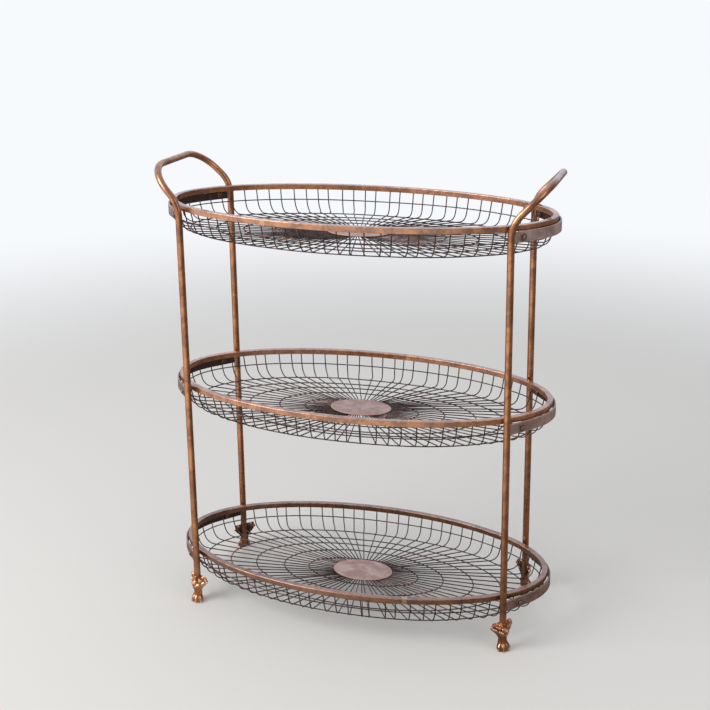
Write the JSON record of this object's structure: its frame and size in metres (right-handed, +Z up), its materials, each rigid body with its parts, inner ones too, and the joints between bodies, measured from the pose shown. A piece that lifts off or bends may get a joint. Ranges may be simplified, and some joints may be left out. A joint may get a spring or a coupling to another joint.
{
  "type": "tiered wire basket rack",
  "caption": "Free-standing rack of oval wire baskets in tiers between two bent-tube end frames with handle grips and cast paw feet, for keeping or carrying things.",
  "frame": {"origin": "middle of the rack on the floor that its four feet stand on", "axes": "+X along the length of the baskets, towards the right end frame; +Y from the front to the back; +Z up"},
  "size_m": [0.773, 0.37, 0.9014],
  "materials": {
    "copper_tube": "mottled antique copper coat on steel tube, satin",
    "copper_bar": "mottled antique copper coat on square steel bar, satin",
    "dark_band": "dark brown copper coat on flat bar, satin",
    "net_wire": "dark brown coat with copper glints on wire",
    "disc_plate": "dull rose-brown coat on plate, smudged",
    "cast_foot": "bright copper-gold plating on a casting",
    "fastener_steel": "bolt head and washer, worn bright",
    "fastener_dark": "nut, dark coat"
  },
  "bodies": {
    "root": {"end_frame_left": "copper_tube", "foot_front_left": "cast_foot", "foot_back_left": "cast_foot", "end_frame_right": "copper_tube", "foot_front_right": "cast_foot", "foot_back_right": "cast_foot", "rim_bottom": "copper_bar", "net_bottom": "net_wire", "centre_disc_bottom": "disc_plate", "band_bottom_left": "dark_band", "bolt_bottom_left_front": "fastener_steel", "washer_bottom_left_front": "fastener_steel", "nut_bottom_left_front": "fastener_dark", "bolt_bottom_left_back": "fastener_steel", "washer_bottom_left_back": "fastener_steel", "nut_bottom_left_back": "fastener_dark", "band_bottom_right": "dark_band", "bolt_bottom_right_front": "fastener_steel", "washer_bottom_right_front": "fastener_steel", "nut_bottom_right_front": "fastener_dark", "bolt_bottom_right_back": "fastener_steel", "washer_bottom_right_back": "fastener_steel", "nut_bottom_right_back": "fastener_dark", "rim_middle": "copper_bar", "net_middle": "net_wire", "centre_disc_middle": "disc_plate", "band_middle_left": "dark_band", "bolt_middle_left_front": "fastener_steel", "washer_middle_left_front": "fastener_steel", "nut_middle_left_front": "fastener_dark", "bolt_middle_left_back": "fastener_steel", "washer_middle_left_back": "fastener_steel", "nut_middle_left_back": "fastener_dark", "band_middle_right": "dark_band", "bolt_middle_right_front": "fastener_steel", "washer_middle_right_front": "fastener_steel", "nut_middle_right_front": "fastener_dark", "bolt_middle_right_back": "fastener_steel", "washer_middle_right_back": "fastener_steel", "nut_middle_right_back": "fastener_dark", "rim_top": "copper_bar", "net_top": "net_wire", "centre_disc_top": "disc_plate", "band_top_left": "dark_band", "bolt_top_left_front": "fastener_steel", "washer_top_left_front": "fastener_steel", "nut_top_left_front": "fastener_dark", "bolt_top_left_back": "fastener_steel", "washer_top_left_back": "fastener_steel", "nut_top_left_back": "fastener_dark", "band_top_right": "dark_band", "bolt_top_right_front": "fastener_steel", "washer_top_right_front": "fastener_steel", "nut_top_right_front": "fastener_dark", "bolt_top_right_back": "fastener_steel", "washer_top_right_back": "fastener_steel", "nut_top_right_back": "fastener_dark"}
  },
  "joints": []
}
